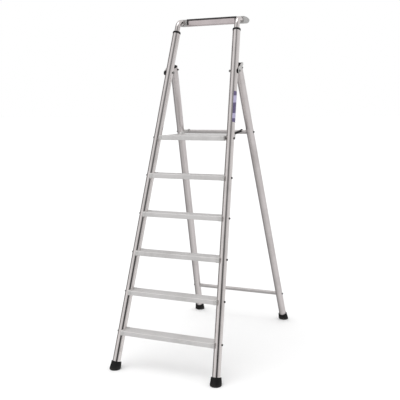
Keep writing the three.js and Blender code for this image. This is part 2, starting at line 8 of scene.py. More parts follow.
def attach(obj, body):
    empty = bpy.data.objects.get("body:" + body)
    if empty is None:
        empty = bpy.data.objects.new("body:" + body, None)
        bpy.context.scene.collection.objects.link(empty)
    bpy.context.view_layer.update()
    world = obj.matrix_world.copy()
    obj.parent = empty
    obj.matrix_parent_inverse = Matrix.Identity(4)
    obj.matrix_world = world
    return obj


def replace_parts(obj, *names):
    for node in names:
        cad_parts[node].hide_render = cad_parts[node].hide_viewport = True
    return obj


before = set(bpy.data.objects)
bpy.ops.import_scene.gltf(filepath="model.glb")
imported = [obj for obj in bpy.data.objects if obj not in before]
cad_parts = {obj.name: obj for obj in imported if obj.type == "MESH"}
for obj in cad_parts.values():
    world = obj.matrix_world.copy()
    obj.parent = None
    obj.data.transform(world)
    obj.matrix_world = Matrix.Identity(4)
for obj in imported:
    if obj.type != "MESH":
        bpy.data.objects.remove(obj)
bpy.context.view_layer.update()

# Meshes are built in millimetres, in the frame of the CAD, and scaled when they become objects.
MM = 0.001
SIDES = (("left", -1), ("right", 1))
FRONT, REAR, DECK = "front_frame", "rear_frame", "platform"

STANCE_DEPTH = 1354  # front foot centre to rear foot centre
FRONT_HALF_WIDTH = 342  # stile axis from the middle, at the floor
FRONT_TAPER = 0.0609  # the stiles close in by this much per mm of height
FRONT_LEAN = 0.3376  # and lean back by this much
REAR_HALF_WIDTH = 350  # the same three for the rear legs
REAR_TAPER = 0.0636
REAR_LEAN = 0.3504

TUBE_RADIUS = 25  # stiles and legs
TUBE_WALL = 2
TUBE_FOOT_HEIGHT = 22  # height of a tube's lower end, inside its foot
STILE_TOP = 2102
GAP = 0.3  # air left between two pieces that touch
HEAD_SEAT = 0.9  # a flat head or nut stands this far off the leaning tube's side

TREAD_RISE = 240
TREAD_COUNT = 5
TREAD_THICKNESS = 29
TREAD_FRONT = -40  # from the stile axis
TREAD_REAR = 45
TREAD_WALL = 2.4
NOSE_RADIUS = 4  # rounding of the front edges
HEEL_RADIUS = 3  # rounding of the rear edges
NOSE_LAND = 11  # smooth strip before the first groove
GROOVE_PITCH = 8.5  # anti-slip grooves along the top
GROOVE_WIDTH = 3
GROOVE_DEPTH = 1.1
SADDLE_FLANGE = 8  # saddle between the tread's end and the stile
SADDLE_OVERHANG = 1.2  # saddle outline outside the tread's
SADDLE_WRAP = 12  # its horns stop this far short of the stile axis
SPIGOT_LENGTH = 24  # of a saddle, inside the tread's middle chamber
CORE_Y = 12.5  # half depth and half height of that chamber
CORE_Z = 11
SCREW_BELOW_TOP = 15
SCREW_RADIUS = 3.9
SCREW_HEAD_RADIUS = 6.5
SCREW_HEAD_HEIGHT = 5

PLATFORM_TOP = TREAD_RISE * (TREAD_COUNT + 1)
PLATFORM_DEPTH = 260
PLATFORM_HALF_WIDTH = 203
PLATFORM_CHAMBERS = 6
PLATFORM_SPIGOT_LENGTH = 22
PLATFORM_BOLT_RADIUS = 5
PLATE_THICKNESS = 4  # the platform's end caps: a full-depth plate
BLOCK_END = 226  # and a deeper block at the stile, out to here
BLOCK_DEPTH = 82
HOOK_X = 196  # middle of each hook's thickness
HOOK_THICKNESS = 9
HOOK_BELOW = 9.5  # the hook's root, below and above the platform's pivot
HOOK_ABOVE = 10

UPPER_BAR_HEIGHT = 1448
LOWER_BAR_HEIGHT = 218
BAR_RADIUS = 13.5

PIVOT_HEIGHT = 1845
PIVOT_RADIUS = 5
ARM_INNER_X = 258  # hinge arm on the outboard side of the stile
ARM_THICKNESS = 8
ARM_RADIUS = 15  # at the pivot
ARM_TIP_RADIUS = 11  # at the neck
NECK_RADIUS = 9  # joins the arm to the plug, above the low front of the leg's rim
NECK_AHEAD = 14  # of the plug's round top
NECK_ABOVE = 11
LEG_CUT_HEIGHT = 1886  # slanting end of the leg tube, on its axis
LEG_CUT_SLOPE = math.radians(32)  # rising to the rear
PLUG_BOTTOM = 1800
PLUG_TOP = 1879  # where the plug's round top starts
KNUCKLE_BOLT_HEIGHT = 1868

RAIL_RADIUS = 17.5
RAIL_WALL = 2
RAIL_HEIGHT = 2182  # axis of the level stretch
RAIL_BEND = 55
COLLAR_DEPTH = 42  # reducing collar: this far into the stile's end
COLLAR_ABOVE = 14  # and this far above it
COLLAR_BULGE = 1.5  # and this far outside the stile
TRAY_FRONT_Y = 123
TRAY_DEPTH = 112
TRAY_BOTTOM = 2159
TRAY_HEIGHT = 44.5
TRAY_NOSE = 29.5  # rearmost line of the tray, above its bottom
TRAY_WALL = 3
TRAY_HALF_WIDTH = 231
TRAY_CAP_LENGTH = 52
TRAY_CURVE_Y = 150  # the back is made of two quarter ellipses that start here
TRAY_SOCKET_DEPTH = 28  # the handrail's ends sit this far into the tray's end caps
TRIM_HEIGHT = 11
SHADE_STRIP_WIDTH = 12  # width of the dark strip down each end of the tray's front: painted shade for the notch between the panel and the end cap
TRIM_THICKNESS = 1.2
TRIM_ABOVE = 1  # top of the dark edging above the tray's rim

FOOT_RADIUS = 35.7  # at the flared sole
FOOT_NECK_RADIUS = 31.5
FOOT_FLARE_HEIGHT = 12  # the flare narrows from here to the lip
FOOT_LIP_HEIGHT = 45.5  # on the tube's axis; the lip is square to the tube

LABEL_BOTTOM = 1520
LABEL_TOP = 1712
LABEL_BEARING = math.radians(-17)  # of its middle, from straight out at the right
LABEL_HALF_ANGLE = 41  # of the film round the stile, in degrees
LABEL_BARS = ((1565, 16), (1668, 22))  # middle and half height of each lighter bar

TUBE_SEGMENTS = 96
RAIL_SEGMENTS = 80
BAR_SEGMENTS = 80
BOLT_SEGMENTS = 48


def on_stile(side, z):
    """Point on a stile's axis at height z."""
    return Vector((side * (FRONT_HALF_WIDTH - FRONT_TAPER * z), FRONT_LEAN * z - STANCE_DEPTH / 2, z))


def on_leg(side, z):
    """Point on a rear leg's axis at height z."""
    return Vector((side * (REAR_HALF_WIDTH - REAR_TAPER * z), STANCE_DEPTH / 2 - REAR_LEAN * z, z))


def direction_of(axis, side):
    return (axis(side, 1) - axis(side, 0)).normalized()


def angles_round(count):
    """Angles of points spaced evenly round a circle."""
    return [2 * math.pi * i / count for i in range(count)]


# ---------------------------------------------------------------- camera, at the height of a person's head

AZIMUTH = math.radians(23.7466)
PITCH = math.radians(8.8665)
ROLL = math.radians(-0.6759)
CAMERA_PLACE = (1.7908, -4.1749, 1.6525)

camera_data = bpy.data.cameras.new("camera")
camera_data.sensor_width = 36
camera_data.lens = 61.04
camera_data.shift_x = 0.0009
camera_data.shift_y = 0.0191
camera_data.clip_end = 200
camera = bpy.data.objects.new("camera", camera_data)
bpy.context.scene.collection.objects.link(camera)
turn = Matrix.Rotation(AZIMUTH, 4, "Z") @ Matrix.Rotation(math.pi / 2 - PITCH, 4, "X")
camera.matrix_world = Matrix.Translation(CAMERA_PLACE) @ turn @ Matrix.Rotation(ROLL, 4, "Z")
bpy.context.scene.camera = camera


# ---------------------------------------------------------------- material nodes

def add(tree, kind, inputs=None, **settings):
    """New shader node. An input is either a value or the socket that feeds it."""
    made = tree.nodes.new(kind)
    for key, value in settings.items():
        setattr(made, key, value)
    for key, value in (inputs or {}).items():
        if isinstance(value, bpy.types.NodeSocket):
            tree.links.new(value, made.inputs[key])
        else:
            made.inputs[key].default_value = value
    return made


def object_coords(tree):
    return add(tree, "ShaderNodeTexCoord").outputs["Object"]


def stretched(tree, direction, across, along):
    """Coordinates with across units per metre round a piece and along units per metre along direction."""
    to_z = direction.rotation_difference(Vector((0, 0, 1))).to_euler()
    turned_to_z = add(tree, "ShaderNodeMapping", {"Vector": object_coords(tree), "Rotation": to_z})
    scaled = add(tree, "ShaderNodeMapping",
                 {"Vector": turned_to_z.outputs[0], "Scale": (across, across, along)})
    return scaled.outputs[0]


def noise(tree, vector, scale, detail=3.0, roughness=0.5):
    return add(tree, "ShaderNodeTexNoise", {
        "Vector": vector, "Scale": scale, "Detail": detail, "Roughness": roughness}).outputs["Fac"]


def span(tree, value, low, high, to_low, to_high):
    """Value mapped from low..high to to_low..to_high, and held at the ends."""
    return add(tree, "ShaderNodeMapRange", {
        "Value": value, "From Min": low, "From Max": high, "To Min": to_low, "To Max": to_high,
    }).outputs["Result"]


def maths(tree, operation, a, b=0.0):
    return add(tree, "ShaderNodeMath", {0: a, 1: b}, operation=operation).outputs[0]


def tint(tree, factor, *stops):
    """Colour that runs through stops of (position, grey or colour) as factor rises."""
    ramp = add(tree, "ShaderNodeValToRGB", {"Fac": factor})
    elements = ramp.color_ramp.elements
    while len(elements) < len(stops):
        elements.new(0.5)
    for element, (position, colour) in zip(elements, stops):
        element.position = position
        element.color = (*([colour] * 3 if isinstance(colour, (int, float)) else colour), 1)
    return ramp.outputs["Color"]


def blend_colours(tree, factor, a, b):
    """Colour that goes from a to b as factor rises. Each is either a value or a socket."""
    mix = add(tree, "ShaderNodeMix", {"Factor": factor}, data_type="RGBA")
    for socket, value in ((mix.inputs[6], a), (mix.inputs[7], b)):
        if isinstance(value, bpy.types.NodeSocket):
            tree.links.new(value, socket)
        else:
            socket.default_value = (*value, 1)
    return mix.outputs[2]


def bump(tree, height, strength, distance, under=None):
    inputs = {"Height": height, "Strength": strength, "Distance": distance}
    if under is not None:
        inputs["Normal"] = under
    return add(tree, "ShaderNodeBump", inputs).outputs["Normal"]


def material(name, constants):
    made = bpy.data.materials.new(name)
    made.use_nodes = True
    shader = made.node_tree.nodes["Principled BSDF"]
    for key, value in constants.items():
        shader.inputs[key].default_value = value
    return made, made.node_tree, shader


def connect(tree, shader, **sockets):
    names = {"colour": "Base Color", "roughness": "Roughness", "normal": "Normal"}
    for key, value in sockets.items():
        tree.links.new(value, shader.inputs[names[key]])


def extruded_metal(name, direction, shades, roughness, line_strength, scuffs=0.5, metallic=1.0):
    """Aluminium with die lines along direction, handling marks and small scuffs."""
    made, tree, shader = material(name, {"Metallic": metallic})
    lines = noise(tree, stretched(tree, direction, 2600, 9), 1.0, 4.0, 0.65)
    bands = noise(tree, stretched(tree, direction, 420, 1.4), 1.0, 3.0, 0.6)
    place = object_coords(tree)
    handling = noise(tree, place, 17.0, 5.0, 0.6)
    grime = noise(tree, place, 5.5, 6.0, 0.7)
    scratch = span(tree, noise(tree, stretched(tree, direction, 900, 70), 1.0, 2.0, 0.4), 0.66, 0.72, 0, 1)
    patch = span(tree, noise(tree, place, 31.0, 2.0), 0.55, 0.66, 0, scuffs)
    worn = maths(tree, "MULTIPLY", scratch, patch)
    dark, light = shades
    colour = tint(tree, bands, (0.25, [c * 0.95 for c in light]), (0.75, light))
    colour = blend_colours(tree, span(tree, grime, 0.48, 0.78, 0, 0.55), colour, dark)
    colour = blend_colours(tree, worn, colour, [c * 0.72 for c in light])
    low, high = roughness
    rough = maths(tree, "ADD", span(tree, handling, 0.3, 0.72, low, high),
                  span(tree, lines, 0.3, 0.7, -0.02, 0.035))
    rough = maths(tree, "ADD", rough, maths(tree, "MULTIPLY", worn, 0.18))
    relief = bump(tree, lines, line_strength, 0.00012)
    relief = bump(tree, bands, line_strength * 0.8, 0.0003, relief)
    connect(tree, shader, colour=colour, roughness=rough, normal=bump(tree, worn, 0.35, 0.0001, relief))
    return made


def cast_metal(name, shades, roughness):
    """Blasted aluminium casting: fine pebbled skin, darker in the pits, rubbed here and there."""
    made, tree, shader = material(name, {"Metallic": 0.6})
    place = object_coords(tree)
    pebbles = noise(tree, place, 1500.0, 3.0, 0.6)
    swell = noise(tree, place, 160.0, 3.0)
    rub = noise(tree, place, 45.0, 5.0, 0.65)
    dark, light = shades
    colour = tint(tree, pebbles, (0.32, dark), (0.62, light))
    colour = blend_colours(tree, span(tree, rub, 0.5, 0.75, 0, 0.5), colour, [c * 1.08 for c in light])
    rough = span(tree, rub, 0.3, 0.7, roughness[1], roughness[0])
    relief = bump(tree, swell, 0.15, 0.0006)
    connect(tree, shader, colour=colour, roughness=rough, normal=bump(tree, pebbles, 0.3, 0.0002, relief))
    return made


def moulded(name, shades, roughness, grain=1300.0, dust=None, specular=0.4):
    """Moulded plastic or rubber with a fine spark-eroded grain, scuffs, and dust low down if asked for."""
    made, tree, shader = material(name, {"Metallic": 0.0, "Specular IOR Level": specular})
    place = object_coords(tree)
    skin = noise(tree, place, grain, 2.0)
    cloud = noise(tree, place, 38.0, 5.0, 0.62)
    marks = span(tree, noise(tree, place, 210.0, 4.0, 0.7), 0.62, 0.7, 0, 0.6)
    dark, light = shades
    colour = tint(tree, cloud, (0.3, dark), (0.72, light))
    colour = blend_colours(tree, marks, colour, [c * 1.5 + 0.008 for c in light])
    rough = maths(tree, "ADD", span(tree, cloud, 0.3, 0.7, *roughness), maths(tree, "MULTIPLY", marks, 0.12))
    if dust is not None:
        height = add(tree, "ShaderNodeSeparateXYZ", {0: place}).outputs["Z"]
        low_down = maths(tree, "MULTIPLY", span(tree, height, 0.0, 0.03, 1, 0),
                         span(tree, cloud, 0.35, 0.65, 0.2, 1))
        colour = blend_colours(tree, maths(tree, "MULTIPLY", low_down, 0.55), colour, dust)
    relief = bump(tree, cloud, 0.08, 0.0008)
    connect(tree, shader, colour=colour, roughness=rough, normal=bump(tree, skin, 0.22, 0.00012, relief))
    return made


def fastener_steel(name, shades):
    """Plated or oil-blackened steel with a fine skin, rubbed brighter in small places."""
    made, tree, shader = material(name, {"Metallic": 0.85})
    place = object_coords(tree)
    rub = noise(tree, place, 420.0, 5.0, 0.7)
    skin = noise(tree, place, 2200.0, 2.0)
    colour = tint(tree, rub, (0.4, shades[0]), (0.66, shades[1]), (0.78, shades[2]))
    connect(tree, shader, colour=colour, roughness=span(tree, rub, 0.35, 0.7, 0.42, 0.28),
            normal=bump(tree, skin, 0.2, 0.0001))
    return made


def label_print():
    """Plain purple film label with two plain lighter bars, slightly mottled by handling."""
    made, tree, shader = material("label_film", {
        "Metallic": 0.0, "Coat Weight": 0.35, "Coat Roughness": 0.18})
    place = object_coords(tree)
    cloud = noise(tree, place, 60.0, 5.0, 0.65)
    skin = noise(tree, place, 900.0, 2.0)
    height = add(tree, "ShaderNodeSeparateXYZ", {0: place}).outputs["Z"]
    purple = tint(tree, cloud, (0.3, (0.06, 0.046, 0.12)), (0.7, (0.13, 0.1, 0.22)))
    bars = None
    for middle, half in LABEL_BARS:
        off = maths(tree, "ABSOLUTE", maths(tree, "SUBTRACT", height, middle * MM))
        bar = maths(tree, "LESS_THAN", off, half * MM)
        bars = bar if bars is None else maths(tree, "MAXIMUM", bars, bar)
    lilac = tint(tree, cloud, (0.3, (0.36, 0.33, 0.5)), (0.7, (0.45, 0.42, 0.6)))
    colour = blend_colours(tree, bars, purple, lilac)
    connect(tree, shader, colour=colour, roughness=span(tree, cloud, 0.3, 0.7, 0.3, 0.48),
            normal=bump(tree, skin, 0.06, 0.0001))
    return made


# Shades of each finish, from its dull patches to its clean metal.
BRIGHT = ((0.52, 0.485, 0.475), (0.84, 0.79, 0.78))
SATIN = ((0.48, 0.45, 0.44), (0.77, 0.725, 0.72))
DULL = ((0.46, 0.45, 0.44), (0.71, 0.695, 0.69))
DIM = ((0.4, 0.38, 0.375), (0.58, 0.555, 0.55))
ROSY = ((0.5, 0.455, 0.46), (0.82, 0.74, 0.745))
ALONG_X = Vector((1, 0, 0))

tube_metal = {
    side: extruded_metal(f"polished_tube_{name}", direction_of(on_stile, side), BRIGHT, (0.1, 0.2), 0.05)
    for name, side in SIDES}
rail_metal = extruded_metal("polished_handrail", Vector((0, 0.6, 0.8)), BRIGHT, (0.09, 0.18), 0.04)
leg_metal = {
    side: extruded_metal(f"satin_leg_{name}", direction_of(on_leg, side), SATIN, (0.27, 0.4), 0.1)
    for name, side in SIDES}
tread_metal = extruded_metal("satin_tread", ALONG_X, DULL, (0.42, 0.56), 0.16, scuffs=0.9, metallic=0.55)
bar_metal = extruded_metal("satin_crossbar", ALONG_X, DIM, (0.4, 0.54), 0.1, metallic=0.8)
tray_metal = extruded_metal("satin_tray", ALONG_X, ROSY, (0.36, 0.48), 0.12)
casting = cast_metal("blasted_casting", ((0.52, 0.51, 0.5), (0.7, 0.69, 0.68)), (0.4, 0.56))
grey_plastic = moulded("grey_plastic", ((0.34, 0.335, 0.33), (0.41, 0.405, 0.4)), (0.38, 0.52))
black_plastic = moulded("black_plastic", ((0.005, 0.005, 0.0055), (0.012, 0.012, 0.0125)), (0.34, 0.5),
                        specular=0.3)
foot_rubber = moulded("foot_rubber", ((0.004, 0.004, 0.004), (0.01, 0.0095, 0.0095)), (0.5, 0.7),
                      grain=900.0, dust=(0.05, 0.047, 0.044), specular=0.25)
# dark rubber of the tray's top edging, also used for the strips of painted shade down the tray's ends
edging_and_painted_shade = moulded("edging_and_painted_shade", ((0.022, 0.019, 0.019), (0.042, 0.037, 0.037)), (0.42, 0.6))
steel = fastener_steel("blackened_steel", ((0.028, 0.027, 0.028), (0.075, 0.072, 0.07), (0.32, 0.31, 0.3)))
zinc = fastener_steel("zinc_plate", ((0.2, 0.195, 0.19), (0.36, 0.355, 0.345), (0.58, 0.57, 0.56)))
label_film = label_print()


# ---------------------------------------------------------------- mesh building

def loft(rings, closed=False):
    """Skin over rings of equal length. A ring of one point is a pole. Not closed, flat ends are capped."""
    mesh = bmesh.new()
    rows = [[mesh.verts.new(p) for p in ring] for ring in rings]
    pairs = list(zip(rows, rows[1:]))
    if closed:
        pairs.append((rows[-1], rows[0]))
    for a, b in pairs:
        count = max(len(a), len(b))
        for i in range(count):
            j = (i + 1) % count
            if len(a) == 1:
                mesh.faces.new((a[0], b[j], b[i]))
            elif len(b) == 1:
                mesh.faces.new((a[i], a[j], b[0]))
            else:
                mesh.faces.new((a[i], a[j], b[j], b[i]))
    if not closed:
        for row in (rows[0], rows[-1]):
            if len(row) > 1:
                mesh.faces.new(row)
    bmesh.ops.recalc_face_normals(mesh, faces=mesh.faces)
    return mesh


def lathe(profile, start, direction, segments=TUBE_SEGMENTS, closed=False):
    """Solid of revolution from (radius, distance along direction[, True for six flats]) points."""
    turn_to = Vector((0, 0, 1)).rotation_difference(direction)
    rings = []
    for radius, height, *six in profile:
        if radius == 0:
            rings.append([start + turn_to @ Vector((0, 0, height))])
            continue
        ring = []
        for angle in angles_round(segments):
            r = radius
            if six:
                r *= math.cos(math.pi / 6) / math.cos(angle % (math.pi / 3) - math.pi / 6)
            ring.append(start + turn_to @ Vector((r * math.cos(angle), r * math.sin(angle), height)))
        rings.append(ring)
    return loft(rings, closed)


def rod(start, end, radius, segments=TUBE_SEGMENTS):
    along = end - start
    return lathe([(radius, 0), (radius, along.length)], start, along.normalized(), segments)


def arc(y, z, radius, start, end, steps=12):
    """Points on a circle in (y, z), with the angles in half turns."""
    angles = (math.pi * (start + (end - start) * i / steps) for i in range(steps + 1))
    return [(y + radius * math.cos(a), z + radius * math.sin(a)) for a in angles]


def prism(outline, x0, x1, rounding=0.0, steps=2):
    """The outline in (y, z) pulled along X, with its sharp edges rounded."""
    mesh = loft([[Vector((x, y, z)) for y, z in outline] for x in (min(x0, x1), max(x0, x1))])
    if rounding > 0:
        bmesh.ops.dissolve_degenerate(mesh, dist=1e-4, edges=mesh.edges)
        sharp = [edge for edge in mesh.edges
                 if len(edge.link_faces) == 2 and edge.calc_face_angle() > math.radians(40)]
        bmesh.ops.bevel(mesh, geom=sharp, offset=rounding, segments=steps, profile=0.5, affect="EDGES",
                        clamp_overlap=True)
    return mesh


def block(x0, x1, y0, y1, z0, z1, rounding=0.0):
    """Box between two corners."""
    return prism([(y0, z0), (y1, z0), (y1, z1), (y0, z1)], x0, x1, rounding)


def as_object(mesh, name):
    data = bpy.data.meshes.new(name)
    mesh.to_mesh(data)
    mesh.free()
    made = bpy.data.objects.new(name, data)
    bpy.context.scene.collection.objects.link(made)
    return made


def carve(mesh, joined=(), removed=()):
    """Exact union with the joined meshes, then difference of the removed ones."""
    base = as_object(mesh, "work")
    tools = []
    for operation, others in (("UNION", joined), ("DIFFERENCE", removed)):
        for other in others:
            tools.append(as_object(other, "tool"))
            step = base.modifiers.new(operation, "BOOLEAN")
            step.operation = operation
            step.solver = "EXACT"
            step.object = tools[-1]
    bpy.context.view_layer.update()
    depsgraph = bpy.context.evaluated_depsgraph_get()
    data = bpy.data.meshes.new_from_object(base.evaluated_get(depsgraph))
    result = bmesh.new()
    result.from_mesh(data)
    for spare in (base, *tools):
        spare_data = spare.data
        bpy.data.objects.remove(spare)
        bpy.data.meshes.remove(spare_data)
    bpy.data.meshes.remove(data)
    bmesh.ops.remove_doubles(result, verts=result.verts, dist=1e-4)
    return result


def piece(node, mesh, body, look, sharp=32, suffix="fine"):
    """Turns a mesh in millimetres into a visible piece. With the suffix fine, it stands for the CAD node."""
    bmesh.ops.scale(mesh, vec=(MM, MM, MM), verts=mesh.verts)
    made = as_object(mesh, f"{node}_{suffix}")
    made.data.shade_smooth()
    made.data.set_sharp_from_angle(angle=math.radians(sharp))
    made.data.materials.append(look)
    weighted = made.modifiers.new("weighted_normal", "WEIGHTED_NORMAL")
    weighted.keep_sharp = True
    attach(made, body)
    if suffix == "fine":
        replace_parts(made, node)
    return made


def bolt(node, body, axis, side, z, radius, head_radius, head_height, length, head_at=None, nut=0):
    """Round-headed bolt along X with a six-sided socket. One with a hexagon nut is zinc-plated.

    It crosses the tube at height z, and its tip lies length inboard of the tube's axis.
    """
    centre = axis(side, z)
    seat = head_at or abs(centre.x) + TUBE_RADIUS + HEAD_SEAT
    start = Vector((side * (seat + head_height), centre.y, centre.z))
    tip = seat + head_height - (abs(centre.x) - length)
    socket = 0.42 * head_radius
    profile = [(0, 0.5 * head_height), (socket, 0.5 * head_height, True), (socket, 0.03 * head_height, True),
               (socket * 1.12, 0.0)]
    profile += [(head_radius * math.sin(a), 0.62 * head_height * (1 - math.cos(a)) + 0.01)
                for a in (math.radians(step) for step in range(36, 91, 9))]
    profile += [(head_radius, head_height - 0.4), (head_radius - 0.4, head_height), (radius, head_height)]
    if nut:
        face = seat + head_height - (abs(centre.x) - TUBE_RADIUS - HEAD_SEAT)
        profile += [(radius, face), (head_radius * 0.84, face), (head_radius, face + 0.6, True),
                    (head_radius, face + nut - 0.8, True), (head_radius * 0.82, face + nut),
                    (radius, face + nut)]
    profile += [(radius, tip - 0.8), (radius - 0.8, tip), (0, tip)]
    slot, look = ("plated_fastener", zinc) if nut else ("dark_fastener", steel)
    piece(node, lathe(profile, start, Vector((-side, 0, 0)), BOLT_SEGMENTS), body, look)


# ---------------------------------------------------------------- front frame

def make_stile(name, side):
    """Round tube with its edges broken at both ends."""
    start, end = on_stile(side, TUBE_FOOT_HEIGHT), on_stile(side, STILE_TOP)
    length = (end - start).length
    outer, inner, edge = TUBE_RADIUS, TUBE_RADIUS - TUBE_WALL, 0.4
    profile = [(inner, edge), (inner + edge, 0), (outer - edge, 0), (outer, edge), (outer, length - edge),
               (outer - edge, length), (inner + edge, length), (inner, length - edge)]
    piece(f"{name}_stile", lathe(profile, start, (end - start).normalized(), closed=True), FRONT,
          tube_metal[side])


def deck_outline(front, rear, bottom, top, grooved, nose=NOSE_RADIUS, heel=HEEL_RADIUS):
    """Section of a tread or the platform in (y, z), with anti-slip grooves on top if it is grooved."""
    points = arc(rear - heel, bottom + heel, heel, -0.5, 0, 6)
    points += arc(rear - heel, top - heel, heel, 0, 0.5, 6)
    if grooved:
        first, last_end = front + NOSE_LAND, rear - heel
        for i in range(int((last_end - first) // GROOVE_PITCH), -1, -1):
            start = first + i * GROOVE_PITCH
            end = start + GROOVE_WIDTH
            if end <= last_end - 1:
                points += [(end, top), (end, top - GROOVE_DEPTH), (start, top - GROOVE_DEPTH), (start, top)]
    points += arc(front + nose, top - nose, nose, 0.5, 1)
    points += arc(front + nose, bottom + nose, nose, 1, 1.5)
    return points


def make_tread(index):
    """Grooved extrusion with three chambers, a cast saddle at each end, and a screw through each stile."""
    top = TREAD_RISE * index
    middle = on_stile(1, top - SCREW_BELOW_TOP)
    front, rear, bottom = middle.y + TREAD_FRONT, middle.y + TREAD_REAR, top - TREAD_THICKNESS
    node = f"tread_{index}"
    half = middle.x - TUBE_RADIUS - SADDLE_FLANGE - GAP
    low, high = middle.z - CORE_Z, middle.z + CORE_Z
    chambers = [block(-half - 5, half + 5, y0, y1, low, high) for y0, y1 in (
        (front + 3 * TREAD_WALL, middle.y - CORE_Y - TREAD_WALL), (middle.y - CORE_Y, middle.y + CORE_Y),
        (middle.y + CORE_Y + TREAD_WALL, rear - TREAD_WALL))]
    board = prism(deck_outline(front, rear, bottom, top, True), -half, half, 0.35)
    piece(node, carve(board, removed=chambers), FRONT, tread_metal)
    skin = SADDLE_OVERHANG
    section = deck_outline(front - skin, rear + skin, bottom - skin, top + skin, False, NOSE_RADIUS + 1,
                           HEEL_RADIUS + 1)
    for name, side in SIDES:
        body = prism(section, side * (half + GAP), side * (middle.x - SADDLE_WRAP), 0.9, 3)
        spigot = block(side * (half - SPIGOT_LENGTH), side * (half + 2), middle.y - CORE_Y + GAP,
                       middle.y + CORE_Y - GAP, low + GAP, high - GAP)
        stile = rod(on_stile(side, bottom - 40), on_stile(side, top + 40), TUBE_RADIUS + GAP)
        piece(f"{node}_{name}_saddle", carve(body, [spigot], [stile]), FRONT, casting)
        bolt(f"{node}_{name}_screw", FRONT, on_stile, side, middle.z, SCREW_RADIUS, SCREW_HEAD_RADIUS,
             SCREW_HEAD_HEIGHT, middle.x - half + 13)


def make_foot(node, body, axis, side):
    """Ribbed rubber boot with a grooved sole, sheared to follow its tube and cut square to it at the lip."""
    profile = [(0, 0)]
    for groove in (7, 16, 25):
        profile += [(groove, 0), (groove + 0.6, 1.6), (groove + 2.4, 1.6), (groove + 3, 0)]
    profile += [(FOOT_RADIUS - 4, 0), (FOOT_RADIUS - 2, 0.5), (FOOT_RADIUS - 0.8, 1.6), (FOOT_RADIUS, 4),
                (FOOT_RADIUS, FOOT_FLARE_HEIGHT - 1)]
    slope = (FOOT_RADIUS - FOOT_NECK_RADIUS) / (FOOT_LIP_HEIGHT - FOOT_FLARE_HEIGHT)
    for rib in (14, 19, 24):
        r = FOOT_RADIUS - slope * (rib - FOOT_FLARE_HEIGHT)
        profile += [(r, rib), (r - 1, rib + 0.6), (r - 1, rib + 1.6), (r - slope * 2.2, rib + 2.2)]
    blank = 1.6 * FOOT_LIP_HEIGHT
    profile += [(FOOT_NECK_RADIUS, FOOT_LIP_HEIGHT), (FOOT_NECK_RADIUS, blank), (0, blank)]
    boot = lathe(profile, Vector(), Vector((0, 0, 1)))
    base, step = axis(side, 0), axis(side, 1) - axis(side, 0)
    for vert in boot.verts:
        x, y, z = vert.co
        vert.co = Vector((base.x + x + step.x * z, base.y + y + step.y * z, z))
    lip, above = axis(side, FOOT_LIP_HEIGHT), axis(side, 3 * FOOT_LIP_HEIGHT)
    socket = rod(axis(side, TUBE_FOOT_HEIGHT - 1), above, TUBE_RADIUS + GAP)
    boot = carve(boot, removed=[socket, rod(lip, above, 3 * FOOT_RADIUS, 12)])
    along = direction_of(axis, side)
    on_lip = [edge for edge in boot.edges if all(abs((v.co - lip).dot(along)) < 0.02 for v in edge.verts)]
    rim = [edge for edge in on_lip if edge.calc_face_angle(0) > math.radians(30)]
    bmesh.ops.bevel(boot, geom=rim, offset=1.3, segments=4, profile=0.5, affect="EDGES", clamp_overlap=True)
    piece(node, boot, body, foot_rubber)


def make_collar(name, side):
    """Black sleeve in the stile's end, with a rounded band above it."""
    bore, spigot = RAIL_RADIUS + GAP, TUBE_RADIUS - TUBE_WALL - GAP
    bulge = TUBE_RADIUS + COLLAR_BULGE
    profile = [(bore, -COLLAR_DEPTH), (spigot, -COLLAR_DEPTH), (spigot, GAP), (bulge - 0.9, GAP),
               (bulge - 0.3, 0.9), (bulge, 2.4), (bulge, 9.5), (bulge - 0.5, 11.8), (bulge - 1.4, 13.3),
               (bulge - 3, COLLAR_ABOVE), (bore + 0.5, COLLAR_ABOVE), (bore, COLLAR_ABOVE - 0.5)]
    collar = lathe(profile, on_stile(side, STILE_TOP), direction_of(on_stile, side), closed=True)
    piece(f"{name}_handrail_collar", collar, FRONT, black_plastic)


def bezier(first, second, third, last, t):
    rest = 1 - t
    return first * rest ** 3 + second * 3 * t * rest ** 2 + third * 3 * t * t * rest + last * t ** 3


def make_handrail_arm(name, side):
    """Tube that continues the stile and bends to the rear, level, into the tray's end cap."""
    along, level = direction_of(on_stile, side), Vector((0, 1, 0))
    corner = on_stile(side, RAIL_HEIGHT)
    bend = math.acos(along.dot(level))
    setback = RAIL_BEND * math.tan(bend / 2)
    handle = 4 / 3 * math.tan(bend / 4) * RAIL_BEND
    first, last = corner - along * setback, corner + level * setback
    second, third = first + along * handle, last - level * handle
    path = [on_stile(side, STILE_TOP - COLLAR_DEPTH)]
    path += [bezier(first, second, third, last, i / 24) for i in range(25)]
    path.append(Vector((corner.x, TRAY_FRONT_Y + TRAY_SOCKET_DEPTH - 2, RAIL_HEIGHT)))
    across = along.cross(level).normalized()
    outer, inner = [], []
    for i, point in enumerate(path):
        ahead = (path[min(i + 1, len(path) - 1)] - path[max(i - 1, 0)]).normalized()
        out = across.cross(ahead)
        for radius, rings in ((RAIL_RADIUS, outer), (RAIL_RADIUS - RAIL_WALL, inner)):
            rings.append([point + (across * math.cos(angle) + out * math.sin(angle)) * radius
                          for angle in angles_round(RAIL_SEGMENTS)])
    arm = loft(outer + inner[::-1], closed=True)
    piece(f"{name}_handrail_arm", arm, FRONT, rail_metal, sharp=40)


TRAY_TOP = TRAY_BOTTOM + TRAY_HEIGHT
TRAY_FRONT_TOP = TRAY_TOP + TRIM_ABOVE - 3 * TRIM_THICKNESS
TRAY_CURVE_DEPTH = TRAY_FRONT_Y + TRAY_DEPTH - TRAY_CURVE_Y
PANEL_HALF_WIDTH = TRAY_HALF_WIDTH - TRAY_CAP_LENGTH


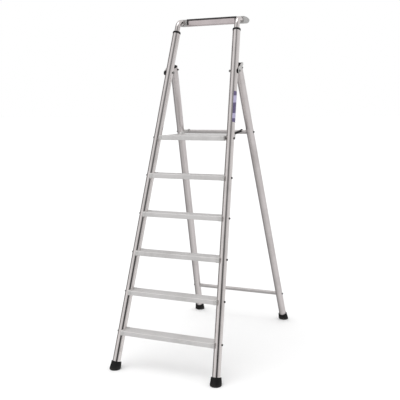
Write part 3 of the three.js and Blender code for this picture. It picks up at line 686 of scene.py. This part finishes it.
def tray_back(inset, start, end):
    """Points on the curve of the tray's back, with the angles in half turns from its rearmost line."""
    points, steps = [], 48
    for i in range(steps + 1):
        angle = math.pi * (start + (end - start) * i / steps)
        height = TRAY_NOSE if angle < 0 else TRAY_HEIGHT - TRAY_NOSE
        points.append((TRAY_CURVE_Y + (TRAY_CURVE_DEPTH - inset) * math.cos(angle),
                       TRAY_BOTTOM + TRAY_NOSE + (height - inset) * math.sin(angle)))
    return points


def make_tray():
    """Trough with a flat front, a curved back and an open top."""
    y, corner, lip = TRAY_FRONT_Y, 6, 0.25
    outline = [(y, TRAY_FRONT_TOP), *arc(y + corner, TRAY_BOTTOM + corner, corner, 1, 1.5, 10)]
    outline += tray_back(0, -0.5, lip) + tray_back(TRAY_WALL, lip, -0.5)
    outline += arc(y + corner, TRAY_BOTTOM + corner, corner - TRAY_WALL, 1.5, 1, 10)
    outline += [(y + TRAY_WALL, TRAY_FRONT_TOP)]
    trough = prism(outline, -PANEL_HALF_WIDTH, PANEL_HALF_WIDTH, 0.4)
    piece("tray", trough, FRONT, tray_metal)


def make_tray_trim():
    """Dark edging over the front's top edge, turned down at each end into strips of painted shade where the
    panel meets the end caps.
    """
    front, back = TRAY_FRONT_Y - GAP, TRAY_FRONT_Y + TRAY_WALL + GAP
    top = TRAY_TOP + TRIM_ABOVE
    bottom = top - TRIM_HEIGHT
    skin, end = TRIM_THICKNESS, PANEL_HALF_WIDTH - 1
    crown = arc(back, top - skin, skin, 0, 0.5, 5) + arc(front, top - skin, skin, 0.5, 1, 5)
    edging = [(front - skin, bottom), (front, bottom), (front, TRAY_FRONT_TOP + GAP),
              (back, TRAY_FRONT_TOP + GAP), (back, bottom), (back + skin, bottom), *crown]
    # dark strips down each end of the front: painted shade for the shaded notch between the panel and each
    # end cap
    strips = [block(side * (end - SHADE_STRIP_WIDTH), side * end, front - skin, front, TRAY_BOTTOM + 7,
                    top - TRIM_HEIGHT / 2, 0.3) for _, side in SIDES]
    trim = carve(prism(edging, -end, end, 0.3), joined=strips)
    piece("tray_edge_trim", trim, FRONT, edging_and_painted_shade)


def make_tray_end_cap(name, side):
    """Solid cap with the outline of the tray and a socket for the handrail arm."""
    y, radius = TRAY_FRONT_Y, 4
    outline = arc(y + radius, TRAY_BOTTOM + radius, radius, 1, 1.5, 8)
    outline += tray_back(0, -0.5, 0.5)
    outline += arc(y + radius, TRAY_TOP - radius, radius, 0.5, 1, 8)
    x = on_stile(side, RAIL_HEIGHT).x
    socket = rod(Vector((x, y - 5, RAIL_HEIGHT)), Vector((x, y + TRAY_SOCKET_DEPTH, RAIL_HEIGHT)),
                 RAIL_RADIUS + GAP)
    shell = prism(outline, side * (PANEL_HALF_WIDTH + GAP), side * TRAY_HALF_WIDTH, 2.2, 4)
    piece(f"{name}_tray_end_cap", carve(shell, removed=[socket]), FRONT, grey_plastic)


# ---------------------------------------------------------------- rear frame

NECK = on_leg(1, PLUG_TOP) + Vector((0, -NECK_AHEAD, NECK_ABOVE))
HINGE = on_stile(1, PIVOT_HEIGHT)


def make_leg(name, side):
    """Leg tube whose top end slants up to the rear."""
    start, along = on_leg(side, TUBE_FOOT_HEIGHT), direction_of(on_leg, side)
    cut_at = on_leg(side, LEG_CUT_HEIGHT)
    turn_to = Vector((0, 0, 1)).rotation_difference(along)
    outer, inner, edge, top_stretch = TUBE_RADIUS, TUBE_RADIUS - TUBE_WALL, 0.4, 120
    rise = math.tan(LEG_CUT_SLOPE)

    def ring(radius, offset, slanted):
        points = []
        for angle in angles_round(TUBE_SEGMENTS):
            spoke = start + turn_to @ Vector((radius * math.cos(angle), radius * math.sin(angle), 0))
            reach = offset
            if slanted:
                away = spoke - cut_at
                reach += (away.y * rise - away.z) / (along.z - along.y * rise)
            points.append(spoke + along * reach)
        return points

    rings = [ring(inner, edge, False), ring(inner + edge, 0, False), ring(outer - edge, 0, False),
             ring(outer, edge, False), ring(outer, -top_stretch, True), ring(outer, -edge, True),
             ring(outer - edge, 0, True), ring(inner + edge, 0, True), ring(inner, -edge, True),
             ring(inner, -top_stretch, True)]
    piece(f"{name}_rear_leg", loft(rings, closed=True), REAR, leg_metal[side])


def make_knuckle(name, side):
    """Domed plug in the leg's top, with an arm that reaches forward past the stile to a pad at the pivot."""
    node = f"{name}_hinge_knuckle"
    plug_radius = TUBE_RADIUS - TUBE_WALL - GAP
    bottom, top = on_leg(side, PLUG_BOTTOM), on_leg(side, PLUG_TOP)
    length = (top - bottom).length
    dome = [(plug_radius * math.cos(a), length + plug_radius * math.sin(a)) for a in
            (math.pi / 2 * i / 14 for i in range(14))]
    plug = lathe([(0, 0), (plug_radius - 1, 0), (plug_radius, 1), *dome, (0, length + plug_radius)], bottom,
                 (top - bottom).normalized())
    neck = rod(Vector((side * NECK.x, *NECK.yz)), Vector((side * (ARM_INNER_X + 1), *NECK.yz)),
               NECK_RADIUS, 64)

    reach = (NECK - HINGE).yz
    along = math.atan2(reach.y, reach.x) / math.pi
    tangent = math.acos((ARM_RADIUS - ARM_TIP_RADIUS) / reach.length) / math.pi
    outline = arc(NECK.y, NECK.z, ARM_TIP_RADIUS, along - tangent, along + tangent, 28)
    outline += arc(HINGE.y, HINGE.z, ARM_RADIUS, along + tangent, along + 2 - tangent, 28)
    arm = prism(outline, side * ARM_INNER_X, side * (ARM_INNER_X + ARM_THICKNESS), 1.6, 4)

    rim, depth = ARM_RADIUS + 0.4, 6.6
    pad = lathe([(0, 0), (rim - 1.2, 0), (rim - 0.3, 0.4), (rim, 1.2), (rim, depth), (0, depth)],
                Vector((side * (ARM_INNER_X - 1.4), *HINGE.yz)), Vector((side, 0, 0)))

    piece(node, arm, REAR, casting)
    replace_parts(piece(node, carve(plug, [neck]), REAR, black_plastic, suffix="plug"), node)
    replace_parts(piece(node, pad, REAR, black_plastic, suffix="pad"), node)


def make_hinge_bolts(name, side):
    bolt(f"{name}_knuckle_bolt", REAR, on_leg, side, KNUCKLE_BOLT_HEIGHT, SCREW_RADIUS, SCREW_HEAD_RADIUS, 4,
         TUBE_RADIUS + 10, nut=6)
    bolt(f"{name}_hinge_bolt", FRONT, on_stile, side, PIVOT_HEIGHT, PIVOT_RADIUS, 8, 5,
         TUBE_RADIUS + 11, ARM_INNER_X + ARM_THICKNESS + GAP, nut=7)


def cope(side, y, z):
    """Where a line along X at (y, z) meets the inboard side of a rear leg, with clearance."""
    origin, along = on_leg(side, 0), direction_of(on_leg, side)
    dy, dz = y - origin.y, z - origin.z
    beside = dy * along.y + dz * along.z
    a = 1 - along.x ** 2
    b = -2 * along.x * beside
    c = dy * dy + dz * dz - beside * beside - (TUBE_RADIUS + GAP) ** 2
    return origin.x + (-b - side * math.sqrt(b * b - 4 * a * c)) / (2 * a)


def make_crossbar(name, height):
    """Tube between the legs, with its ends shaped to them."""
    y = on_leg(1, height).y
    outer, inner = BAR_RADIUS, BAR_RADIUS - TUBE_WALL
    rings = []
    for side, radius in ((-1, inner), (-1, outer), (1, outer), (1, inner)):
        circle = [(y + radius * math.cos(angle), height + radius * math.sin(angle))
                  for angle in angles_round(BAR_SEGMENTS)]
        rings.append([Vector((cope(side, py, pz), py, pz)) for py, pz in circle])
    piece(f"{name}_crossbar", loft(rings, closed=True), REAR, bar_metal)
    for side_name, side in SIDES:
        bolt(f"{name}_crossbar_{side_name}_bolt", REAR, on_leg, side, height, SCREW_RADIUS,
             SCREW_HEAD_RADIUS, SCREW_HEAD_HEIGHT, TUBE_RADIUS + 32)


# ---------------------------------------------------------------- platform

DECK_PIVOT = on_stile(1, PLATFORM_TOP - SCREW_BELOW_TOP)
DECK_FRONT = DECK_PIVOT.y + TREAD_FRONT
DECK_REAR = DECK_FRONT + PLATFORM_DEPTH
DECK_BOTTOM = PLATFORM_TOP - TREAD_THICKNESS
CHAMBER_LOW = DECK_PIVOT.z - CORE_Z
CHAMBER_HIGH = DECK_PIVOT.z + CORE_Z
CHAMBER_START = DECK_FRONT + 3 * TREAD_WALL
CHAMBER_PITCH = (DECK_REAR - CHAMBER_START) / PLATFORM_CHAMBERS
HOOK_LOW = DECK_PIVOT.z - HOOK_BELOW
HOOK_HIGH = DECK_PIVOT.z + HOOK_ABOVE
HOOK_HALF = HOOK_THICKNESS / 2
PLATE_X = PLATFORM_HALF_WIDTH + GAP


def make_platform():
    """Grooved extrusion with a row of chambers, and a slot at the rear for each hook."""
    half = PLATFORM_HALF_WIDTH
    removed = [block(-half - 5, half + 5, CHAMBER_START + i * CHAMBER_PITCH,
                     CHAMBER_START + (i + 1) * CHAMBER_PITCH - TREAD_WALL, CHAMBER_LOW, CHAMBER_HIGH)
               for i in range(PLATFORM_CHAMBERS)]
    removed += [block(side * (HOOK_X - HOOK_HALF - GAP), side * (HOOK_X + HOOK_HALF + GAP),
                      DECK_REAR - 2 * TREAD_WALL, DECK_REAR + 1, HOOK_LOW - GAP, HOOK_HIGH + GAP)
                for _, side in SIDES]
    deck = prism(deck_outline(DECK_FRONT, DECK_REAR, DECK_BOTTOM, PLATFORM_TOP, True), -half, half, 0.35)
    piece("platform", carve(deck, removed=removed), DECK, tread_metal)


def make_platform_end(name, side):
    """Cast plate on the platform's end with a block at the stile, and the bolt it turns on."""
    section = deck_outline(DECK_FRONT, DECK_REAR, DECK_BOTTOM, PLATFORM_TOP, False)
    plate = prism(section, side * PLATE_X, side * (PLATE_X + PLATE_THICKNESS), 0.8, 3)
    short_section = deck_outline(DECK_FRONT, DECK_FRONT + BLOCK_DEPTH, DECK_BOTTOM, PLATFORM_TOP, False)
    lug = prism(short_section, side * (PLATE_X + 1), side * BLOCK_END, 0.8, 3)
    spigots = [block(side * (PLATE_X - PLATFORM_SPIGOT_LENGTH), side * (PLATE_X + 1),
                     CHAMBER_START + i * CHAMBER_PITCH + GAP,
                     CHAMBER_START + (i + 1) * CHAMBER_PITCH - TREAD_WALL - GAP,
                     CHAMBER_LOW + GAP, CHAMBER_HIGH - GAP) for i in (0, 2)]
    piece(f"platform_{name}_end_cap", carve(plate, [lug, *spigots]), DECK, casting)
    bolt(f"platform_{name}_pivot_bolt", FRONT, on_stile, side, DECK_PIVOT.z, PLATFORM_BOLT_RADIUS, 7.5, 5,
         DECK_PIVOT.x - PLATE_X - PLATE_THICKNESS - 1.5)


def make_platform_hook(name, side):
    """Flat hook from the platform's rear over the upper crossbar, black at the right."""
    bar = on_leg(1, UPPER_BAR_HEIGHT)
    throat, back, lip = BAR_RADIUS + 2, BAR_RADIUS + 6, -0.2 / math.pi
    root, shoulder = DECK_REAR - 30, DECK_REAR + 14
    outline = [(root, HOOK_LOW), (DECK_REAR + GAP, HOOK_LOW), (shoulder, bar.z - 12),
               (bar.y - 26, bar.z - 1)]
    outline += arc(bar.y, bar.z, throat, 1, lip, 28) + arc(bar.y, bar.z, back, lip, 0.72, 28)
    outline += [(shoulder, bar.z + 2), (DECK_REAR + GAP, HOOK_HIGH), (root, HOOK_HIGH)]
    hook = prism(outline, side * (HOOK_X - HOOK_HALF), side * (HOOK_X + HOOK_HALF), 0.9, 3)
    slot, look = ("cast_fitting", casting) if side < 0 else ("black_plastic", black_plastic)
    piece(f"{name}_platform_hook", hook, DECK, look)


def make_label():
    """Thin film wrapped on the outboard front of the right stile."""
    along = direction_of(on_stile, 1)
    bottom, top = on_stile(1, LABEL_BOTTOM), on_stile(1, LABEL_TOP)
    toward = Vector((math.cos(LABEL_BEARING), math.sin(LABEL_BEARING), 0))
    toward = (toward - along * toward.dot(along)).normalized()
    beside = along.cross(toward)
    strips = 32
    angles = [math.radians(-LABEL_HALF_ANGLE + 2 * LABEL_HALF_ANGLE * i / strips) for i in range(strips + 1)]
    inside, outside = TUBE_RADIUS + 0.04, TUBE_RADIUS + 0.22
    mesh = bmesh.new()
    rows = [[mesh.verts.new(end + (toward * math.cos(a) + beside * math.sin(a)) * radius) for a in angles]
            for radius, end in ((inside, bottom), (inside, top), (outside, top), (outside, bottom))]
    for a, b in zip(rows, rows[1:] + rows[:1]):
        for i in range(strips):
            mesh.faces.new((a[i], a[i + 1], b[i + 1], b[i]))
    for i in (0, strips):
        mesh.faces.new([row[i] for row in rows])
    bmesh.ops.recalc_face_normals(mesh, faces=mesh.faces)
    piece("stile_label", mesh, FRONT, label_film, suffix="film")


for side_name, side_sign in SIDES:
    make_stile(side_name, side_sign)
    make_foot(f"{side_name}_front_foot", FRONT, on_stile, side_sign)
    make_foot(f"{side_name}_rear_foot", REAR, on_leg, side_sign)
    make_collar(side_name, side_sign)
    make_handrail_arm(side_name, side_sign)
    make_leg(side_name, side_sign)
    make_knuckle(side_name, side_sign)
    make_hinge_bolts(side_name, side_sign)
for tread_index in range(1, TREAD_COUNT + 1):
    make_tread(tread_index)
make_tray()
make_tray_trim()
for side_name, side_sign in SIDES:
    make_tray_end_cap(side_name, side_sign)
make_crossbar("upper", UPPER_BAR_HEIGHT)
make_crossbar("lower", LOWER_BAR_HEIGHT)
make_platform()
for side_name, side_sign in SIDES:
    make_platform_end(side_name, side_sign)
for side_name, side_sign in SIDES:
    make_platform_hook(side_name, side_sign)
make_label()


# ---------------------------------------------------------------- floor and light

def make_floor():
    """Wide pale floor that shiny surfaces don't see."""
    mesh = bmesh.new()
    reach = 60
    mesh.faces.new([mesh.verts.new((x, y, 0)) for x, y in
                    ((-reach, -reach), (reach, -reach), (reach, reach), (-reach, reach))])
    floor = as_object(mesh, "studio_floor")
    look, tree, shader = material("pale_floor", {"Roughness": 0.9})
    cloud = noise(tree, object_coords(tree), 0.8, 3.0)
    connect(tree, shader, colour=tint(tree, cloud, (0.3, 0.9), (0.7, 0.93)))
    floor.data.materials.append(look)
    floor.visible_glossy = False


def make_world():
    """White sweep. Shiny surfaces see a studio with two dark flags, near the camera and at the left."""
    world = bpy.data.worlds.new("studio")
    bpy.context.scene.world = world
    world.use_nodes = True
    tree = world.node_tree
    tree.nodes.clear()
    ray = add(tree, "ShaderNodeLightPath").outputs
    toward = add(tree, "ShaderNodeTexCoord").outputs["Generated"]
    facing = add(tree, "ShaderNodeMapping", {"Vector": toward, "Rotation": (0, 0, math.pi / 2 - AZIMUTH)},
                 vector_type="VECTOR")
    x, y, z = add(tree, "ShaderNodeSeparateXYZ", {0: facing.outputs[0]}).outputs
    bearing = maths(tree, "ARCTAN2", y, x)
    turn_share = span(tree, bearing, -math.pi, math.pi, 0, 1)

    def bands(*pairs):
        """Level that varies with bearing, from (degrees from the camera towards its right, level) pairs."""
        return tint(tree, turn_share, *[(degrees / 360 + 0.5, level) for degrees, level in pairs])

    low = bands((-180, 0.72), (-152, 0.52), (-132, 0.2), (-108, 0.14), (-94, 0.6), (-76, 0.8), (-46, 0.78),
                (-26, 0.62), (-10, 0.05), (14, 0.04), (28, 0.2), (42, 0.6), (60, 0.7), (100, 0.76),
                (150, 0.74), (180, 0.72))
    high = bands((-180, 0.66), (-150, 0.5), (-130, 0.18), (-106, 0.14), (-94, 0.6), (-74, 0.8), (-42, 0.76),
                 (-22, 0.5), (-4, 0.24), (14, 0.25), (36, 0.62), (60, 0.66), (120, 0.68), (180, 0.66))
    under = bands((-180, 0.66), (-150, 0.42), (-128, 0.2), (-104, 0.3), (-78, 0.58), (-20, 0.68), (20, 0.8),
                  (60, 0.86), (120, 0.74), (180, 0.66))
    level = blend_colours(tree, span(tree, z, 0.28, 0.6, 0, 1), low, high)
    level = blend_colours(tree, span(tree, z, -0.12, -0.02, 1, 0), level, under)
    overhead = blend_colours(tree, span(tree, z, 0.8, 0.93, 0, 1), level, (0.82, 0.8, 0.8))
    light = blend_colours(tree, ray["Is Diffuse Ray"], overhead, (1.02, 1.02, 1.02))
    shown = blend_colours(tree, ray["Is Camera Ray"], light, (1.0, 1.0, 1.0))
    background = add(tree, "ShaderNodeBackground", {"Color": shown, "Strength": 1.0})
    add(tree, "ShaderNodeOutputWorld", {"Surface": background.outputs[0]})


make_floor()
make_world()

sun = bpy.data.lights.new("overhead_softbox", "SUN")
sun.energy = 0.7
sun.angle = math.radians(50)
sun_object = bpy.data.objects.new("overhead_softbox", sun)
sun_object.rotation_euler = (math.radians(14), math.radians(-12), 0)
bpy.context.scene.collection.objects.link(sun_object)
bpy.context.scene.view_settings.view_transform = "Standard"
